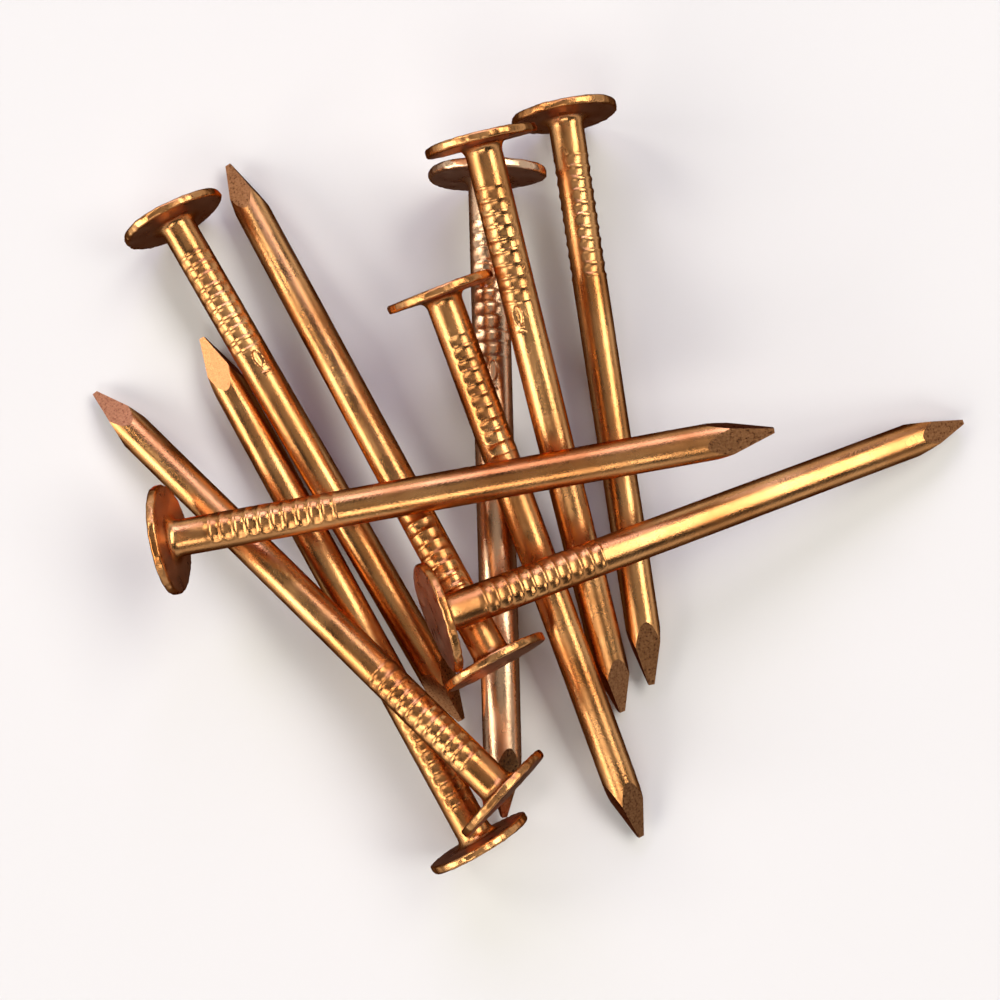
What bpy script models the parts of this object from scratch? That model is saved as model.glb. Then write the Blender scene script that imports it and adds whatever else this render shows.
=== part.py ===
"""A loose heap of large-head copper nails, each one a separate piece.

Every nail is a single cold-headed length of round copper wire: a thin wide head,
a plain neck, a band of rolled grip rings, a plain shank and a four-sided point.
The heap stands on the plane z = 0 with its middle at the origin.  A nail is
modelled upright, the middle of its head's outer face at its own origin and its
point hanging down -Z, and is then laid in its place in the heap.
"""
import math

import bmesh
import bpy
from mathutils import Matrix, Vector

MM = 0.001

# Driving dimensions of the ordinary nail, in millimetres.
NAIL_LENGTH = 50.8
SHANK_RADIUS = 1.525
HEAD_RADIUS = 4.75
HEAD_THICKNESS = 0.8
HEAD_FLAT_RADIUS = 4.3
NECK_FLARE = 0.45
NECK_LENGTH = 4.2
POINT_LENGTH = 5.4
POINT_BLUNT = 0.3

GRIP_COUNT = 10
GRIP_PITCH = 1.05
GRIP_DEPTH = 0.09

TURNING_STEPS = 16
LARGE_NAIL_SCALE = 1.11
MERGE_DISTANCE = 0.000001

COPPER_COLOUR = (0.80, 0.36, 0.16, 1.0)
COPPER_ROUGHNESS = 0.28

# A nail lying by itself almost touches the ground with its head's rim and with the end
# of its round shank, so its head is the higher end.
REST_GAP = 0.2
REST_LEAN = math.degrees(math.atan(
    (HEAD_RADIUS - SHANK_RADIUS) / (NAIL_LENGTH - POINT_LENGTH - HEAD_THICKNESS)))
REST_HEIGHT = HEAD_RADIUS * math.cos(math.radians(REST_LEAN)) + REST_GAP

# Places in the heap, bottom nail first.  Each is the middle of the head's outer
# face (x, y and height, in mm), the compass heading from head to point, the
# downward lean of the point, and the roll about the nail's own length (degrees).
NAIL_PLACES = {
    "nail_01": (-3.1, 27.0, LARGE_NAIL_SCALE * REST_HEIGHT, -89.0, REST_LEAN, 20),
    "nail_02": (3.3, 32.4, REST_HEIGHT, -81.4, REST_LEAN, 9),
    "nail_03": (-3.8, -31.0, REST_HEIGHT, 119.7, REST_LEAN, 10),
    "nail_04": (-31.0, 23.2, REST_HEIGHT, -60.2, REST_LEAN, 50),
    "nail_05": (-7.6, 15.8, 9.95, -69.6, 10.4, 15),
    "nail_06": (-3.8, 27.6, 13.05, -75.8, 14.2, 25),
    "nail_07": (-2.5, -15.2, 9.35, 119.1, 9.5, 12),
    "nail_08": (-1.9, -25.8, 9.9, 137.2, 10.3, 70),
    "nail_09": (-7.9, -10.9, 12.45, 19.5, 13.4, -3),
    "nail_10": (-30.3, -4.9, 9.25, 9.9, -2.2, 66),
}
LARGE_NAILS = ("nail_01",)


def clear_scene():
    for old in list(bpy.data.objects):
        bpy.data.objects.remove(old, do_unlink=True)


def new_collection(name):
    collection = bpy.data.collections.new(name)
    bpy.context.scene.collection.children.link(collection)
    return collection


def copper(name):
    material = bpy.data.materials.new(name)
    material.use_nodes = True
    shader = material.node_tree.nodes["Principled BSDF"]
    shader.inputs["Base Color"].default_value = COPPER_COLOUR
    shader.inputs["Metallic"].default_value = 1.0
    shader.inputs["Roughness"].default_value = COPPER_ROUGHNESS
    material.diffuse_color = COPPER_COLOUR
    return material


def nail_outline():
    """The half outline in mm, from the middle of the head down to the shank's end."""
    rim_middle = HEAD_THICKNESS / 2
    outline = [
        (0.0, 0.0),
        (HEAD_FLAT_RADIUS, 0.0),
        (HEAD_RADIUS - 0.13, -0.12),
        (HEAD_RADIUS, -rim_middle),
        (HEAD_RADIUS - 0.1, -HEAD_THICKNESS + 0.1),
        (HEAD_FLAT_RADIUS, -HEAD_THICKNESS),
        (SHANK_RADIUS + NECK_FLARE, -HEAD_THICKNESS - 0.08),
        (SHANK_RADIUS + NECK_FLARE * 0.3, -HEAD_THICKNESS - 0.3),
        (SHANK_RADIUS, -HEAD_THICKNESS - 0.75),
        (SHANK_RADIUS, -NECK_LENGTH),
    ]
    for ring in range(GRIP_COUNT):
        top = -NECK_LENGTH - ring * GRIP_PITCH
        outline.append((SHANK_RADIUS - GRIP_DEPTH, top - GRIP_PITCH * 0.5))
        outline.append((SHANK_RADIUS, top - GRIP_PITCH))
    outline.append((SHANK_RADIUS, -NAIL_LENGTH))
    outline.append((0.0, -NAIL_LENGTH))
    return outline


def turned_blank(scale):
    """The nail before pointing, turned about Z and returned as a mesh."""
    points = nail_outline()
    profile = bpy.data.meshes.new("nail_profile")
    vertices = [(radius * MM * scale, 0.0, height * MM * scale) for radius, height in points]
    edges = [(index, index + 1) for index in range(len(points) - 1)]
    profile.from_pydata(vertices, edges, [])
    blank = bpy.data.objects.new("nail_blank", profile)
    bpy.context.scene.collection.objects.link(blank)
    screw = blank.modifiers.new("turning", "SCREW")
    screw.axis = "Z"
    screw.steps = TURNING_STEPS
    screw.render_steps = TURNING_STEPS
    screw.use_merge_vertices = True
    screw.merge_threshold = MERGE_DISTANCE
    bpy.context.view_layer.update()
    evaluated = blank.evaluated_get(bpy.context.evaluated_depsgraph_get())
    mesh = bpy.data.meshes.new_from_object(evaluated)
    bpy.data.objects.remove(blank, do_unlink=True)
    bpy.data.meshes.remove(profile)
    return mesh


def shear_point(mesh, scale):
    """Cut the shank's end to a diamond point with four flat sheared facets."""
    slope = math.atan2(SHANK_RADIUS - POINT_BLUNT, POINT_LENGTH)
    body = bmesh.new()
    body.from_mesh(mesh)
    for side in range(4):
        turn = math.radians(90 * side)
        outward = Vector((math.cos(turn), math.sin(turn), 0.0))
        on_plane = outward * POINT_BLUNT * MM * scale
        on_plane.z = -NAIL_LENGTH * MM * scale
        normal = outward * math.cos(slope) - Vector((0.0, 0.0, math.sin(slope)))
        everything = body.verts[:] + body.edges[:] + body.faces[:]
        cut = bmesh.ops.bisect_plane(body, geom=everything, dist=1e-9, plane_co=on_plane,
                                     plane_no=normal, clear_outer=True)
        rim = [item for item in cut["geom_cut"] if isinstance(item, bmesh.types.BMEdge)]
        bmesh.ops.edgeloop_fill(body, edges=rim)
    bmesh.ops.remove_doubles(body, verts=body.verts[:], dist=MERGE_DISTANCE)
    bmesh.ops.recalc_face_normals(body, faces=body.faces[:])
    body.to_mesh(mesh)
    body.free()


def nail_mesh(name, scale):
    mesh = turned_blank(scale)
    mesh.name = name
    shear_point(mesh, scale)
    mesh.materials.append(None)
    mesh.shade_smooth()
    mesh.set_sharp_from_angle(angle=math.radians(35))
    return mesh


def lay_nail(name, mesh, material, collection):
    """Add one nail to the heap, its point leaning down along its heading."""
    x, y, height, heading, lean, roll = NAIL_PLACES[name]
    nail = bpy.data.objects.new(name, mesh)
    collection.objects.link(nail)
    nail.location = Vector((x, y, height)) * MM
    turn = (Matrix.Rotation(math.radians(heading), 3, "Z")
            @ Matrix.Rotation(math.radians(lean - 90), 3, "Y")
            @ Matrix.Rotation(math.radians(roll), 3, "Z"))
    nail.rotation_euler = turn.to_euler()
    nail.material_slots[0].link = "OBJECT"
    nail.material_slots[0].material = material


def main():
    clear_scene()
    heap = new_collection("copper_nails")
    ordinary = nail_mesh("ordinary_nail", 1.0)
    large = nail_mesh("large_nail", LARGE_NAIL_SCALE)
    for name in NAIL_PLACES:
        mesh = large if name in LARGE_NAILS else ordinary
        lay_nail(name, mesh, copper(name + "_copper"), heap)


main()
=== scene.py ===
"""The looks of a loose heap of copper nails: bright drawn wire, grip marks and sheared points."""
import math

import bmesh
import bpy
import numpy as np
from mathutils import Matrix, Vector, noise


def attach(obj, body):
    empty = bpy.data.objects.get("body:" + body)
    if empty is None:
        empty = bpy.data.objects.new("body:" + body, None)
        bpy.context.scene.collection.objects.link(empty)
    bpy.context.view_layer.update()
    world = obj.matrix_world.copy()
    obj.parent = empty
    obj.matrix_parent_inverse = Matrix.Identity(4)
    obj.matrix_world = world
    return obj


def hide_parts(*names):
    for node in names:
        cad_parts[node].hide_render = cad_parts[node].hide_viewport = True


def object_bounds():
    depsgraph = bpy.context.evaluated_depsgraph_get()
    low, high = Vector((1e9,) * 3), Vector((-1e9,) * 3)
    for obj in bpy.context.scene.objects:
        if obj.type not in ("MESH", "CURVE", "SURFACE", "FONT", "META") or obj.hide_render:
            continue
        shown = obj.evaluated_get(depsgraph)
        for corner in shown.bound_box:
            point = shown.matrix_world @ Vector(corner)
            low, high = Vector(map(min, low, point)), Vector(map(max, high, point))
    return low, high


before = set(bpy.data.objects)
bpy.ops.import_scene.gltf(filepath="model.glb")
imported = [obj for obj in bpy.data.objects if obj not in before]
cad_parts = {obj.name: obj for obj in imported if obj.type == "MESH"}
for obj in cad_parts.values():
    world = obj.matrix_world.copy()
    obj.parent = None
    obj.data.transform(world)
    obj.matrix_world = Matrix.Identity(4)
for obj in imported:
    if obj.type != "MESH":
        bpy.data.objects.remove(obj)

CAD_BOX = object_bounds()
MM = 0.001

# The ordinary nail, in mm from the middle of its head's outer face.
NAIL_LENGTH = 50.8
SHANK_RADIUS = 1.525
HEAD_RADIUS = 4.75
FACE_RADIUS = 4.35
FACE_FALL = 0.05
OUTER_EDGE_ROUND = 0.25
UNDER_EDGE_ROUND = 0.2
RIM_END = 0.56
UNDERSIDE = 0.82
FILLET_RADIUS = 0.6
FILLET_END = 1.6
POINT_LENGTH = 5.4
POINT_BLUNT = 0.30

# How uneven cold heading leaves a head.  HEAD_WAVE and HEAD_LUMPS are shares of the radius,
# the cells are how many lumps fit in the head's radius, and the rest is in mm.
HEAD_WAVE = 0.022
HEAD_LUMPS = 0.012
FACE_LUMPS = 0.03
RIM_BAND = 0.45
RIM_FADE = 0.4
RIM_INSET = 0.085
BURR_OUT = 0.07
BURR_DOWN = 0.045
LUMP_CELLS = 5.0
BURR_CELLS = 13.0

# Grip marks, in mm, degrees (DIE_EDGE_WANDER is in radians) and shares of the pitch.
GRIP_START = 4.3
GRIP_PITCH = 1.05
HOLLOW_SHARE = 0.73
HOLLOW_DEPTH = 0.07
HOLLOW_SQUARENESS = 2.7
HOLLOW_ROWS = (0.05, 0.12, 0.22, 0.5, 0.78, 0.88, 0.95, 1.0)
RIDGE_HEIGHT = 0.035
RIDGE_FULLNESS = 0.8
MARK_UNEVENNESS = 0.25
DIE_HALF_ANGLE = 56
HOLLOW_CORNER_ANGLE = 13
DIE_FADE_ANGLE = 18
DIE_EDGE_WANDER = 0.06

# The small die dimple and the lip beyond it, in mm after the last grip mark.
DIMPLE_AT = 0.95
DIMPLE_HALF_LENGTH = 0.80
DIMPLE_HALF_WIDTH = 0.46
DIMPLE_DEPTH = 0.13
DIMPLE_STEEPNESS = 1.15
DIMPLE_LIP = 0.03
DIMPLE_LIP_WIDTH = 0.16
LIP_AT = 2.25
LIP_HEIGHT = 0.06
LIP_HALF_LENGTH = 0.3
LIP_HALF_WIDTH = 0.42
DIMPLE_END = 3.2

# How far a drawn shank is from round and straight, in mm, and the facets' unevenness in shares.
SHANK_OVAL = 0.008
SHANK_WAVER = 0.006
BLUNT_UNEVENNESS = 0.25
FACET_UNEVENNESS = 0.06

# Vertices around a nail, the least angle of a sharp edge, and how near the end of a CAD nail
# a vertex lies to be counted as part of that end (mm).
AROUND = 132
SHARP_ANGLE = math.radians(28)
CAD_END_DEPTH = 0.02

# Colours at normal incidence: (wire where bright, wire where tarnished, flats of the head).
# The head's flats are lighter and pinker than the wire: struck metal with a painted reflection of
# the pale floor.
WARM_COPPER = ((0.76, 0.385, 0.15), (0.48, 0.185, 0.055), (0.76, 0.49, 0.35))
# A paler copy of the same copper: a painted reflection of the pale floor.
PALE_REFLECTION_COPPER = ((0.88, 0.59, 0.38), (0.70, 0.42, 0.25), (0.82, 0.64, 0.54))
TARNISH_SPREAD = (0.32, 0.64)
HEAD_TARNISH = 0.85
# Sheared metal is duller than the wire, and these facet colours are darkened further as painted
# shade.
FACET_COLOURS = ((0.30, 0.115, 0.045), (0.52, 0.25, 0.11))
EDGE_TINT = (0.42, 0.15, 0.05, 1.0)

# A nail larger than this, as a share of the ordinary one, gets the paler copy of the copper
# colours, a painted reflection of the pale floor.
PALE_REFLECTION_FROM_SIZE = 1.05

# Where the head's flats, with their painted reflection, fade in beside the shank, out at the rim,
# and in at the outer face, in mm from the nail's middle line and, for the last, from the outer
# face.
FLATS_FROM = (1.7, 2.4)
FLATS_TO = (4.25, 4.5)
OUTER_FACE_FROM = (-0.5, -0.3)

# A noise texture's values lie mostly between these, and are spread out from here.
NOISE_LOW = 0.3
NOISE_HIGH = 0.7
SHANK_ROUGHNESS = (0.20, 0.34)
HEAD_ROUGHNESS = (0.25, 0.38)
FACET_ROUGHNESS = (0.25, 0.37)

# Noise of each kind of mark: cells per metre, detail, and how much finer it is along X, Y and
# the nail's own length Z, so that a small last number draws it out along the wire.
TARNISH = (260.0, 5.0, (1.0, 1.0, 0.5))
PATCHES = (800.0, 4.0, (1.0, 1.0, 0.5))
GRAIN = (7500.0, 3.0, (1.0, 1.0, 1.0))
LUMPS = (2400.0, 2.0, (1.0, 1.0, 1.0))
DRAW_LINES = (6000.0, 2.0, (1.0, 1.0, 0.03))
CHATTER = (3600.0, 2.0, (0.12, 0.12, 1.0))
TEAR_LINES = (7000.0, 3.0, (1.0, 1.0, 0.10))
SPECKLE = (5000.0, 5.0, (1.0, 1.0, 1.0))
PITS = (8000.0, 3.0, (1.0, 1.0, 1.0))
SCRATCHES = (2200.0, 1.0, (0.08, 1.0, 0.3))
SCRATCH_BENDS = 160.0
SCRATCH_TURN = 2.4

# Relief of each kind of mark, in mm.
GRAIN_RELIEF = 0.016
LUMP_RELIEF = 0.009
DRAW_LINE_RELIEF = 0.003
CHATTER_RELIEF = 0.007
SCRATCH_RELIEF = 0.012
TEAR_LINE_RELIEF = 0.006
PIT_RELIEF = 0.010

# How far and which way each nail's texture is moved from the one before it, in m, and how far
# apart their seeds are.  The other numbers inside a sine only spread its phases.
TEXTURE_STEP = 0.013
TEXTURE_DIRECTION = (1.0, 0.7, 1.3)
SEED_STEP = 1.37

# The floor: its radius in m and how far below the heap it lies in mm.
FLOOR_RADIUS = 1.2
FLOOR_GAP = 0.05
FLOOR_COLOUR = (0.74, 0.74, 0.745, 1.0)
FLOOR_ROUGHNESS = 0.7

# Area lights: name, azimuth and elevation (degrees), width and height (m), radiance, colour.
LIGHT_DISTANCE = 4.0
WARM_WHITE = (1.0, 0.96, 0.88)
LIGHTS = (
    ("cool_window", 100, 32, 3.0, 1.8, 3.0, (0.72, 0.66, 1.0)),
    ("near_fill", -94, 46, 2.1, 1.3, 3.0, WARM_WHITE),
    ("left_strip", 205, 26, 3.7, 1.6, 4.5, WARM_WHITE),
    ("right_strip", 24, 50, 4.3, 1.6, 4.5, WARM_WHITE),
    ("far_patch", 148, 37, 1.1, 1.1, 6.6, (1.0, 0.95, 0.84)),
)

# The surroundings, from straight down (0) to straight up (1).
UNDERFOOT = (0.07, 0.045, 0.035)
PALE = (0.62, 0.62, 0.64)
DIM = (0.008, 0.008, 0.008)
OVERHEAD = (0.30, 0.28, 0.26)
SURROUNDINGS = ((0.34, UNDERFOOT), (0.42, PALE), (0.54, PALE), (0.67, DIM), (0.93, DIM),
                (0.985, OVERHEAD))

# The camera: what it looks at (m), its elevation, distance (m) and angle of view (degrees).
CAMERA_TARGET = (-0.0025, -0.0015, 0.0032)
CAMERA_ELEVATION = 87.9
CAMERA_DISTANCE = 0.1123
CAMERA_ANGLE = 42.4
EXPOSURE = 0.4

# How each nail differs: the turn of its gripped side to the right of straight up, with the
# head pointing away (degrees), its number of grip marks, the turn of its small die dimple
# from straight up (degrees), and how far its head is bent out of flat (mm).
NAIL_LOOKS = {
    "nail_01": (5, 10, 2, 0.06),
    "nail_02": (40, 10, 215, 0.10),
    "nail_03": (-25, 10, 155, 0.05),
    "nail_04": (3, 9, 17, 0.10),
    "nail_05": (28, 10, 205, 0.08),
    "nail_06": (-14, 9, -22, 0.10),
    "nail_07": (8, 10, 190, 0.04),
    "nail_08": (-8, 10, 175, 0.03),
    "nail_09": (12, 10, 195, 0.10),
    "nail_10": (20, 10, 190, 0.10),
}


# ---------------------------------------------------------------- materials

def new_material(name):
    material = bpy.data.materials.new(name)
    material.use_nodes = True
    tree = material.node_tree
    shader = tree.nodes["Principled BSDF"]
    shader.inputs["Metallic"].default_value = 1.0
    return material, tree, shader


def noise_node(tree, coordinates, mark):
    scale, detail, stretch = mark
    mapping = tree.nodes.new("ShaderNodeMapping")
    mapping.inputs["Scale"].default_value = stretch
    tree.links.new(coordinates, mapping.inputs["Vector"])
    texture = tree.nodes.new("ShaderNodeTexNoise")
    texture.inputs["Scale"].default_value = scale
    texture.inputs["Detail"].default_value = detail
    tree.links.new(mapping.outputs["Vector"], texture.inputs["Vector"])
    return texture.outputs["Fac"]


def ramp_node(tree, factor, stops):
    ramp = tree.nodes.new("ShaderNodeValToRGB")
    elements = ramp.color_ramp.elements
    while len(elements) < len(stops):
        elements.new(0.5)
    for element, (position, colour) in zip(elements, stops):
        element.position = position
        element.color = (*colour, 1.0)
    tree.links.new(factor, ramp.inputs["Fac"])
    return ramp.outputs["Color"]


def range_node(tree, value, low, high, to_low, to_high):
    node = tree.nodes.new("ShaderNodeMapRange")
    node.inputs["From Min"].default_value = low
    node.inputs["From Max"].default_value = high
    node.inputs["To Min"].default_value = to_low
    node.inputs["To Max"].default_value = to_high
    tree.links.new(value, node.inputs["Value"])
    return node.outputs["Result"]


def math_node(tree, operation, first, second):
    node = tree.nodes.new("ShaderNodeMath")
    node.operation = operation
    tree.links.new(first, node.inputs[0])
    tree.links.new(second, node.inputs[1])
    return node.outputs["Value"]


def mix_node(tree, factor, first, second):
    node = tree.nodes.new("ShaderNodeMix")
    node.data_type = "RGBA"
    tree.links.new(factor, node.inputs["Factor"])
    tree.links.new(first, node.inputs[6])
    tree.links.new(second, node.inputs[7])
    return node.outputs[2]


def noise_range(tree, value, ends):
    """Spreads a noise texture's value between the two ends."""
    return range_node(tree, value, NOISE_LOW, NOISE_HIGH, *ends)


def fade_node(tree, value, ends_mm, unit, before, after):
    """Goes from before to after while value passes the two ends."""
    low, high = ends_mm
    return range_node(tree, value, low * unit, high * unit, before, after)


def scratch_node(tree, place):
    """Fine handling scratches that wander over a head's flats."""
    bend = tree.nodes.new("ShaderNodeTexNoise")
    bend.inputs["Scale"].default_value = SCRATCH_BENDS
    tree.links.new(place, bend.inputs["Vector"])
    turned = tree.nodes.new("ShaderNodeVectorRotate")
    turned.inputs["Axis"].default_value = (0.0, 0.0, 1.0)
    tree.links.new(place, turned.inputs["Vector"])
    angle = noise_range(tree, bend.outputs["Fac"], (0.0, SCRATCH_TURN))
    tree.links.new(angle, turned.inputs["Angle"])
    return noise_node(tree, turned.outputs["Vector"], SCRATCHES)


def bump_node(tree, height, depth_mm, previous=None):
    node = tree.nodes.new("ShaderNodeBump")
    node.inputs["Strength"].default_value = 1.0
    node.inputs["Distance"].default_value = depth_mm * MM
    tree.links.new(height, node.inputs["Height"])
    if previous is not None:
        tree.links.new(previous, node.inputs["Normal"])
    return node.outputs["Normal"]


def struck_and_reflection_mask(tree, coordinates, size):
    """1 on the flats of the head, where their painted reflection goes, 0 on the shank and on the
    rim.
    """
    flatten = tree.nodes.new("ShaderNodeVectorMath")
    flatten.operation = "MULTIPLY"
    flatten.inputs[1].default_value = (1.0, 1.0, 0.0)
    tree.links.new(coordinates, flatten.inputs[0])
    length = tree.nodes.new("ShaderNodeVectorMath")
    length.operation = "LENGTH"
    tree.links.new(flatten.outputs["Vector"], length.inputs[0])
    out = length.outputs["Value"]
    unit = MM * size
    beside_shank = fade_node(tree, out, FLATS_FROM, unit, 0.0, 1.0)
    inside_rim = fade_node(tree, out, FLATS_TO, unit, 1.0, 0.0)
    separate = tree.nodes.new("ShaderNodeSeparateXYZ")
    tree.links.new(coordinates, separate.inputs["Vector"])
    outer_face = fade_node(tree, separate.outputs["Z"], OUTER_FACE_FROM, unit, 0.0, 1.0)
    flats = math_node(tree, "MAXIMUM", beside_shank, outer_face)
    return math_node(tree, "MULTIPLY", flats, inside_rim)


def drawn_copper(name, warm, dull, struck_and_reflection, shift, size):
    """Bright drawn wire: grain, lumps, draw lines, die chatter, tarnish and a scratched head, its
    flats lighter as a painted reflection.
    """
    material, tree, shader = new_material(name)
    shader.inputs["Specular Tint"].default_value = EDGE_TINT
    coordinates = tree.nodes.new("ShaderNodeTexCoord").outputs["Object"]
    moved = tree.nodes.new("ShaderNodeVectorMath")
    moved.operation = "ADD"
    moved.inputs[1].default_value = [shift * part for part in TEXTURE_DIRECTION]
    tree.links.new(coordinates, moved.inputs[0])
    place = moved.outputs["Vector"]
    tarnish = noise_node(tree, place, TARNISH)
    wire = ramp_node(tree, tarnish, list(zip(TARNISH_SPREAD, (dull, warm))))
    # The head's flats get a lighter, pinker colour: a painted reflection of the pale floor on the
    # struck metal.
    struck_and_reflection_dull = [HEAD_TARNISH * part for part in struck_and_reflection]
    head = ramp_node(tree, tarnish, [(NOISE_LOW, struck_and_reflection), (NOISE_HIGH, struck_and_reflection_dull)])
    mask = struck_and_reflection_mask(tree, coordinates, size)
    tree.links.new(mix_node(tree, mask, wire, head), shader.inputs["Base Color"])
    patches = noise_node(tree, place, PATCHES)
    shank_roughness = noise_range(tree, patches, SHANK_ROUGHNESS)
    head_roughness = noise_range(tree, patches, HEAD_ROUGHNESS)
    roughness = mix_node(tree, mask, shank_roughness, head_roughness)
    tree.links.new(roughness, shader.inputs["Roughness"])
    scratches = math_node(tree, "MULTIPLY", scratch_node(tree, place), mask)
    normal = bump_node(tree, noise_node(tree, place, GRAIN), GRAIN_RELIEF)
    normal = bump_node(tree, noise_node(tree, place, LUMPS), LUMP_RELIEF, normal)
    normal = bump_node(tree, noise_node(tree, place, DRAW_LINES), DRAW_LINE_RELIEF, normal)
    normal = bump_node(tree, noise_node(tree, place, CHATTER), CHATTER_RELIEF, normal)
    normal = bump_node(tree, scratches, SCRATCH_RELIEF, normal)
    tree.links.new(normal, shader.inputs["Normal"])
    return material


def sheared_copper(name):
    """The point's cut facets: duller, their dark colour partly painted shade, with a fine
    speckle, pits and faint tear lines.
    """
    material, tree, shader = new_material(name)
    shader.inputs["Specular Tint"].default_value = EDGE_TINT
    coordinates = tree.nodes.new("ShaderNodeTexCoord").outputs["Object"]
    speckle = noise_node(tree, coordinates, SPECKLE)
    # The facets' dark colours are partly painted shade.
    dark, light = FACET_COLOURS
    colour = ramp_node(tree, speckle, [(NOISE_LOW, dark), (NOISE_HIGH, light)])
    tree.links.new(colour, shader.inputs["Base Color"])
    tree.links.new(noise_range(tree, speckle, FACET_ROUGHNESS), shader.inputs["Roughness"])
    normal = bump_node(tree, noise_node(tree, coordinates, TEAR_LINES), TEAR_LINE_RELIEF)
    normal = bump_node(tree, noise_node(tree, coordinates, PITS), PIT_RELIEF, normal)
    tree.links.new(normal, shader.inputs["Normal"])
    return material


# ---------------------------------------------------------------- nail shape

def nail_frame(node):
    """Where a CAD nail lies: its matrix (X up, Z out of the head), size and facet turn."""
    points = np.array([vertex.co[:] for vertex in node.data.vertices])
    middle = points.mean(axis=0)
    axis = np.linalg.svd(points - middle, full_matrices=False)[2][0]
    along = (points - middle) @ axis
    off_axis = np.linalg.norm(points - middle - np.outer(along, axis), axis=1)
    if along[off_axis.argmax()] < 0:
        along = -along
    ends = np.abs(along - along.max()) < CAD_END_DEPTH * MM
    tips = np.abs(along - along.min()) < CAD_END_DEPTH * MM
    head = points[ends].mean(axis=0)
    tip = points[tips].mean(axis=0)
    length = np.linalg.norm(head - tip)
    out = Vector((head - tip) / length)
    up = Vector((0.0, 0.0, 1.0))
    side_x = (up - out * up.dot(out)).normalized()
    side_y = out.cross(side_x)
    matrix = Matrix((side_x, side_y, out)).transposed().to_4x4()
    matrix.translation = Vector(head)
    corner = Vector(points[tips][0] - tip)
    facet_turn = math.atan2(corner.dot(side_y), corner.dot(side_x)) + math.pi / 4
    return matrix, length / (NAIL_LENGTH * MM), facet_turn


def arc(start, end, steps):
    return [start + (end - start) * step / steps for step in range(steps + 1)]


def side_profile(grip_end):
    """Rows of the turned surface in mm: (distance below the head's face, radius)."""
    rows = [(FACE_FALL * share ** 4, FACE_RADIUS * share) for share in arc(0.0, 1.0, 8)[1:]]
    outer = HEAD_RADIUS - OUTER_EDGE_ROUND
    for angle in arc(0.0, math.pi / 2, 5)[1:]:
        rows.append((FACE_FALL + OUTER_EDGE_ROUND * (1 - math.cos(angle)),
                     outer + OUTER_EDGE_ROUND * math.sin(angle)))
    under = HEAD_RADIUS - UNDER_EDGE_ROUND
    for angle in arc(0.0, math.pi / 2, 4):
        rows.append((RIM_END + UNDER_EDGE_ROUND * math.sin(angle),
                     under + UNDER_EDGE_ROUND * math.cos(angle)))
    fillet_top = SHANK_RADIUS + FILLET_RADIUS
    rim_under = RIM_END + UNDER_EDGE_ROUND
    for share in arc(0.0, 1.0, 5)[1:-1]:
        rows.append((rim_under + (UNDERSIDE - rim_under) * share,
                     under + (fillet_top - under) * share))
    for angle in arc(0.0, math.pi / 2, 6):
        rows.append((UNDERSIDE + (FILLET_END - UNDERSIDE) * (1 - math.cos(angle)),
                     fillet_top - FILLET_RADIUS * math.sin(angle)))
    ridge_share = 1.0 - HOLLOW_SHARE
    first_ridge = GRIP_START - GRIP_PITCH * ridge_share
    for distance in arc(FILLET_END, first_ridge, 6)[1:] + arc(first_ridge, GRIP_START, 6)[1:]:
        rows.append((distance, SHANK_RADIUS))
    mark = [HOLLOW_SHARE * share for share in HOLLOW_ROWS]
    mark += [HOLLOW_SHARE + ridge_share * share for share in arc(0.0, 1.0, 6)[1:]]
    for number in range(round((grip_end - GRIP_START) / GRIP_PITCH)):
        for share in mark:
            rows.append((GRIP_START + GRIP_PITCH * (number + share), SHANK_RADIUS))
    plain = grip_end + DIMPLE_END
    for distance in arc(grip_end, plain, 36)[1:] + arc(plain, NAIL_LENGTH, 26)[1:]:
        rows.append((distance, SHANK_RADIUS))
    return np.array(rows)


def smooth_step(value):
    value = np.clip(value, 0.0, 1.0)
    return value * value * (3.0 - 2.0 * value)


def turn_from(angles, middle):
    """The size of the turn from middle to each angle, from 0 to pi."""
    return np.abs((angles - middle + math.pi) % (2 * math.pi) - math.pi)


def die_mask(angles, grip_turn, half_angle):
    """1 where the two grip dies pressed the wire, 0 on the untouched sides between."""
    near = np.minimum(turn_from(angles, grip_turn), turn_from(angles, grip_turn + math.pi))
    return smooth_step((half_angle - near) / math.radians(DIE_FADE_ANGLE) + 0.5)


def grip_relief(distance, angles, grip_turn, grip_end):
    """Height change in mm of the grip marks: cushion-shaped hollows between narrow ridges."""
    place = (distance - GRIP_START) / GRIP_PITCH
    share = place % 1.0
    inside = (place > HOLLOW_SHARE - 1.0) & (distance < grip_end + 0.001)
    across = np.clip(share / HOLLOW_SHARE, 0.0, 1.0)
    off_middle = np.abs(2.0 * across - 1.0)
    hollow = 1.0 - off_middle ** HOLLOW_SQUARENESS
    ridge_share = np.clip((share - HOLLOW_SHARE) / (1.0 - HOLLOW_SHARE), 0.0, 1.0)
    ridge = np.sin(math.pi * ridge_share) ** RIDGE_FULLNESS
    uneven = 1.0 + MARK_UNEVENNESS * np.sin(np.floor(place) * 2.4 + grip_turn * 7.0)
    half_angle = math.radians(DIE_HALF_ANGLE) + DIE_EDGE_WANDER * np.sin(distance * 9.0)
    hollow_end = half_angle - math.radians(HOLLOW_CORNER_ANGLE) * off_middle ** 3
    pressed = HOLLOW_DEPTH * uneven * hollow * die_mask(angles, grip_turn, hollow_end)
    raised = RIDGE_HEIGHT * ridge * die_mask(angles, grip_turn, half_angle)
    return np.where(inside, raised - pressed, 0.0)


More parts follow.
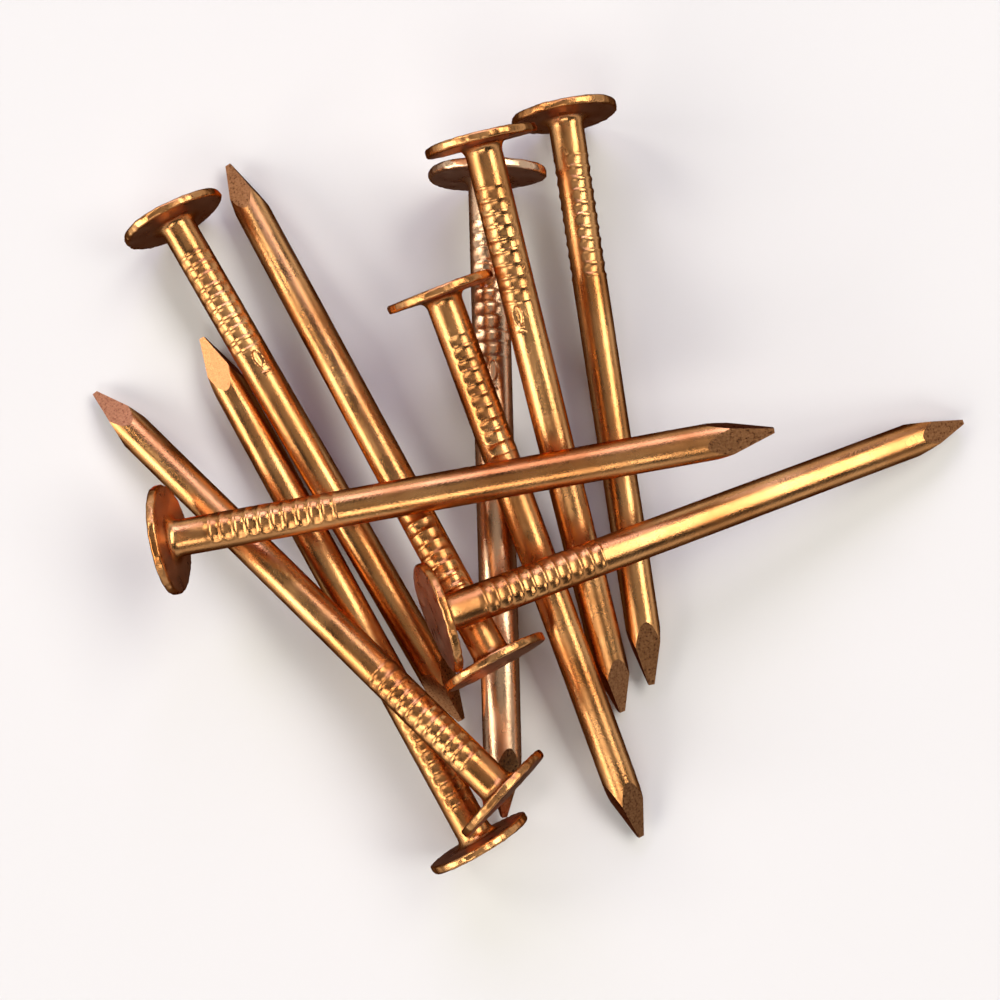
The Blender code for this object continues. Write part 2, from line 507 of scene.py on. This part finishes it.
def dimple_relief(distance, angles, turn, grip_end):
    """The almond-shaped press mark after the last grip mark, and the lip beyond it."""
    off = turn_from(angles, turn) * SHANK_RADIUS
    along = (distance - grip_end - DIMPLE_AT) / DIMPLE_HALF_LENGTH
    width = DIMPLE_HALF_WIDTH * np.sqrt(np.clip(1.0 - along ** 2, 0.0, 1.0)) + 0.001
    inside = np.abs(along) < 1.0
    pressed = DIMPLE_DEPTH * smooth_step(DIMPLE_STEEPNESS * (1.0 - (off / width) ** 2))
    raised = DIMPLE_LIP * np.exp(-((off - width) / DIMPLE_LIP_WIDTH) ** 2)
    lip_along = (distance - grip_end - LIP_AT) / LIP_HALF_LENGTH
    lip_wave = np.cos(1.5 * math.pi * lip_along) * np.exp(-lip_along ** 2 * 1.5)
    lip = LIP_HEIGHT * lip_wave * np.exp(-(off / LIP_HALF_WIDTH) ** 4)
    return (raised - pressed) * inside + lip


def rim_burr(depths, angles, seed, cells):
    """Noise around the rim; cells is how many lumps fit in the head's radius."""
    return np.array([[noise.noise(Vector((cells * math.cos(angle), cells * math.sin(angle),
                                          seed * 3.0 + 1.6 * depth)))
                      for angle in angles] for depth in depths])


def head_shape(distance, radius, angles, seed, bend):
    """Adds the uneven rim, its burr and the slight bend that cold heading leaves in a head."""
    outward = smooth_step((radius - SHANK_RADIUS - FILLET_RADIUS) / (HEAD_RADIUS - SHANK_RADIUS))
    edge = smooth_step((radius - HEAD_RADIUS + RIM_BAND) / RIM_FADE)
    slow = 0.5 + 0.5 * np.sin(2 * angles + seed) * np.cos(angles + 2.1 * seed)
    lumps = rim_burr(distance[:, 0], angles[0], seed, LUMP_CELLS)
    burr = rim_burr(distance[:, 0], angles[0], seed, BURR_CELLS)
    radius = radius * (1.0 - outward * (HEAD_WAVE * slow + HEAD_LUMPS * (0.5 + lumps)))
    radius = radius + edge * (BURR_OUT * burr - RIM_INSET)
    bent = bend * outward * np.sin(2 * angles + 1.7 * seed)
    return distance + bent + FACE_LUMPS * outward * lumps + BURR_DOWN * edge * burr, radius


def nail_surface(look, seed):
    """Arrays of distance below the head's face and radius, one row for each profile row."""
    grip_turn_degrees, marks, dimple_degrees, bend = look
    grip_turn = math.radians(grip_turn_degrees)
    grip_end = GRIP_START + marks * GRIP_PITCH
    rows = side_profile(grip_end)
    angles = np.tile(np.arange(AROUND) * 2 * math.pi / AROUND, (len(rows), 1))
    distance = np.tile(rows[:, :1], (1, AROUND))
    radius = np.tile(rows[:, 1:], (1, AROUND))
    shank = distance > FILLET_END
    relief = grip_relief(distance, angles, grip_turn, grip_end)
    relief = relief + dimple_relief(distance, angles, math.radians(dimple_degrees), grip_end)
    oval = SHANK_OVAL * np.sin(2 * angles + seed) + SHANK_WAVER * np.sin(distance * 0.35 + seed)
    radius = radius + np.where(shank, relief + oval, 0.0)
    count = int((rows[:, 0] < UNDERSIDE + 0.01).sum())
    shaped = head_shape(distance[:count], radius[:count], angles[:count], seed, bend)
    distance[:count], radius[:count] = shaped
    return distance, radius, angles


def nail_mesh(name, look, scale, facet_turn, seed):
    distance, radius, angles = nail_surface(look, seed)
    size = MM * scale
    x = radius * np.cos(angles) * size
    y = radius * np.sin(angles) * size
    z = -distance * size
    vertices = np.stack([x, y, z], axis=2).reshape(-1, 3).tolist()
    rows = len(distance)
    vertices.append((0.0, 0.0, 0.0))
    vertices.append((0.0, 0.0, -NAIL_LENGTH * size))
    top = len(vertices) - 2
    bottom = len(vertices) - 1
    faces = []
    for turn in range(AROUND):
        after = (turn + 1) % AROUND
        faces.append((top, turn, after))
        faces.append((bottom, (rows - 1) * AROUND + after, (rows - 1) * AROUND + turn))
        for row in range(rows - 1):
            first = row * AROUND
            second = first + AROUND
            faces.append((first + turn, second + turn, second + after, first + after))
    mesh = bpy.data.meshes.new(name)
    mesh.from_pydata(vertices, [], faces)
    shear_point(mesh, scale, facet_turn, seed)
    return mesh


def shear_point(mesh, scale, facet_turn, seed):
    """Cuts the point's four facets, each at its own slope, with crisp edges around them."""
    body = bmesh.new()
    body.from_mesh(mesh)
    for side in range(4):
        uneven = math.sin(seed * 5.0 + side * 2.0)
        blunt = POINT_BLUNT * (1.0 - BLUNT_UNEVENNESS + BLUNT_UNEVENNESS * uneven)
        length = POINT_LENGTH * (1.0 + FACET_UNEVENNESS * math.sin(seed * 3.0 + side * 1.7))
        slope = math.atan2(SHANK_RADIUS - blunt, length)
        turn = facet_turn + math.pi / 2 * side
        outward = Vector((math.cos(turn), math.sin(turn), 0.0))
        on_plane = outward * blunt * MM * scale
        on_plane.z = -NAIL_LENGTH * MM * scale
        normal = outward * math.cos(slope) - Vector((0.0, 0.0, math.sin(slope)))
        everything = body.verts[:] + body.edges[:] + body.faces[:]
        cut = bmesh.ops.bisect_plane(body, geom=everything, dist=1e-9, plane_co=on_plane,
                                     plane_no=normal, clear_outer=True)
        rim = [item for item in cut["geom_cut"] if isinstance(item, bmesh.types.BMEdge)]
        filled = bmesh.ops.edgeloop_fill(body, edges=rim)
        for face in filled["faces"]:
            face.material_index = 1
    bmesh.ops.recalc_face_normals(body, faces=body.faces[:])
    for face in body.faces:
        face.smooth = True
    for edge in body.edges:
        surfaces = {face.material_index for face in edge.link_faces}
        edge.smooth = len(surfaces) == 1 and edge.calc_face_angle(0.0) < SHARP_ANGLE
    body.to_mesh(mesh)
    body.free()


def make_nail(number, name, facets):
    """Puts a forged nail where the CAD nail lies; its first material is its own."""
    matrix, scale, facet_turn = nail_frame(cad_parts[name])
    # The larger nail gets the paler copy of the colours, a painted reflection of the pale floor;
    # every nail's head flats carry a painted reflection too.
    warm, dull, struck_and_reflection = PALE_REFLECTION_COPPER if scale > PALE_REFLECTION_FROM_SIZE else WARM_COPPER
    copper = drawn_copper("drawn_copper_" + name[-2:], warm, dull, struck_and_reflection,
                          TEXTURE_STEP * number, scale)
    mesh = nail_mesh(name + "_forged", NAIL_LOOKS[name], scale, facet_turn, SEED_STEP * number)
    mesh.materials.append(copper)
    mesh.materials.append(facets)
    nail = bpy.data.objects.new(name + "_forged", mesh)
    bpy.context.scene.collection.objects.link(nail)
    nail.matrix_world = matrix
    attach(nail, name)
    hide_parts(name)


# ---------------------------------------------------------------- stage, light and camera

def make_floor():
    material = bpy.data.materials.new("pale_floor")
    material.use_nodes = True
    shader = material.node_tree.nodes["Principled BSDF"]
    shader.inputs["Base Color"].default_value = FLOOR_COLOUR
    shader.inputs["Roughness"].default_value = FLOOR_ROUGHNESS
    mesh = bpy.data.meshes.new("floor")
    body = bmesh.new()
    bmesh.ops.create_circle(body, cap_ends=True, segments=96, radius=FLOOR_RADIUS)
    body.to_mesh(mesh)
    body.free()
    mesh.materials.append(material)
    floor = bpy.data.objects.new("floor", mesh)
    floor.location.z = CAD_BOX[0][2] - FLOOR_GAP * MM
    floor.visible_glossy = False
    bpy.context.scene.collection.objects.link(floor)


def soft_box(name, azimuth, elevation, width, height, radiance, colour):
    """An area light aimed at the heap; radiance is what a mirror facing it would show."""
    light = bpy.data.lights.new(name, "AREA")
    light.shape = "RECTANGLE"
    light.size = width
    light.size_y = height
    light.energy = radiance * width * height * math.pi
    light.color = colour
    lamp = bpy.data.objects.new(name, light)
    around = math.radians(azimuth)
    rise = math.radians(elevation)
    direction = Vector((math.cos(around) * math.cos(rise), math.sin(around) * math.cos(rise),
                        math.sin(rise)))
    lamp.location = direction * LIGHT_DISTANCE
    lamp.rotation_euler = direction.to_track_quat("Z", "Y").to_euler()
    lamp.visible_camera = False
    bpy.context.scene.collection.objects.link(lamp)


def make_world():
    """Pale at the horizon, dim above it, a little lighter overhead and dark underfoot.

    The dark underfoot is what the lower half of each nail mirrors, in place of the floor.
    Seen directly, the backdrop is the horizon's pale colour all over.
    """
    world = bpy.data.worlds.new("studio")
    world.use_nodes = True
    tree = world.node_tree
    coordinates = tree.nodes.new("ShaderNodeTexCoord").outputs["Generated"]
    separate = tree.nodes.new("ShaderNodeSeparateXYZ")
    tree.links.new(coordinates, separate.inputs["Vector"])
    height = range_node(tree, separate.outputs["Z"], -1.0, 1.0, 0.0, 1.0)
    mirrored = ramp_node(tree, height, SURROUNDINGS)
    backdrop = tree.nodes.new("ShaderNodeRGB").outputs["Color"]
    backdrop.default_value = (*PALE, 1.0)
    seen_directly = tree.nodes.new("ShaderNodeLightPath").outputs["Is Camera Ray"]
    colour = mix_node(tree, seen_directly, mirrored, backdrop)
    tree.links.new(colour, tree.nodes["Background"].inputs["Color"])
    bpy.context.scene.world = world


def make_camera():
    """Looks almost straight down at the heap from the near side."""
    elevation = math.radians(CAMERA_ELEVATION)
    back = Vector((0.0, -math.cos(elevation), math.sin(elevation)))
    data = bpy.data.cameras.new("camera")
    data.angle = math.radians(CAMERA_ANGLE)
    data.clip_start = 0.005
    camera = bpy.data.objects.new("camera", data)
    camera.location = Vector(CAMERA_TARGET) + back * CAMERA_DISTANCE
    camera.rotation_euler = back.to_track_quat("Z", "Y").to_euler()
    bpy.context.scene.collection.objects.link(camera)
    bpy.context.scene.camera = camera


def main():
    bpy.context.scene.view_settings.view_transform = "Standard"
    bpy.context.scene.view_settings.exposure = EXPOSURE
    make_camera()
    make_world()
    make_floor()
    for light in LIGHTS:
        soft_box(*light)
    facets = sheared_copper("sheared_copper")
    for number, name in enumerate(sorted(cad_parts)):
        make_nail(number, name, facets)


main()
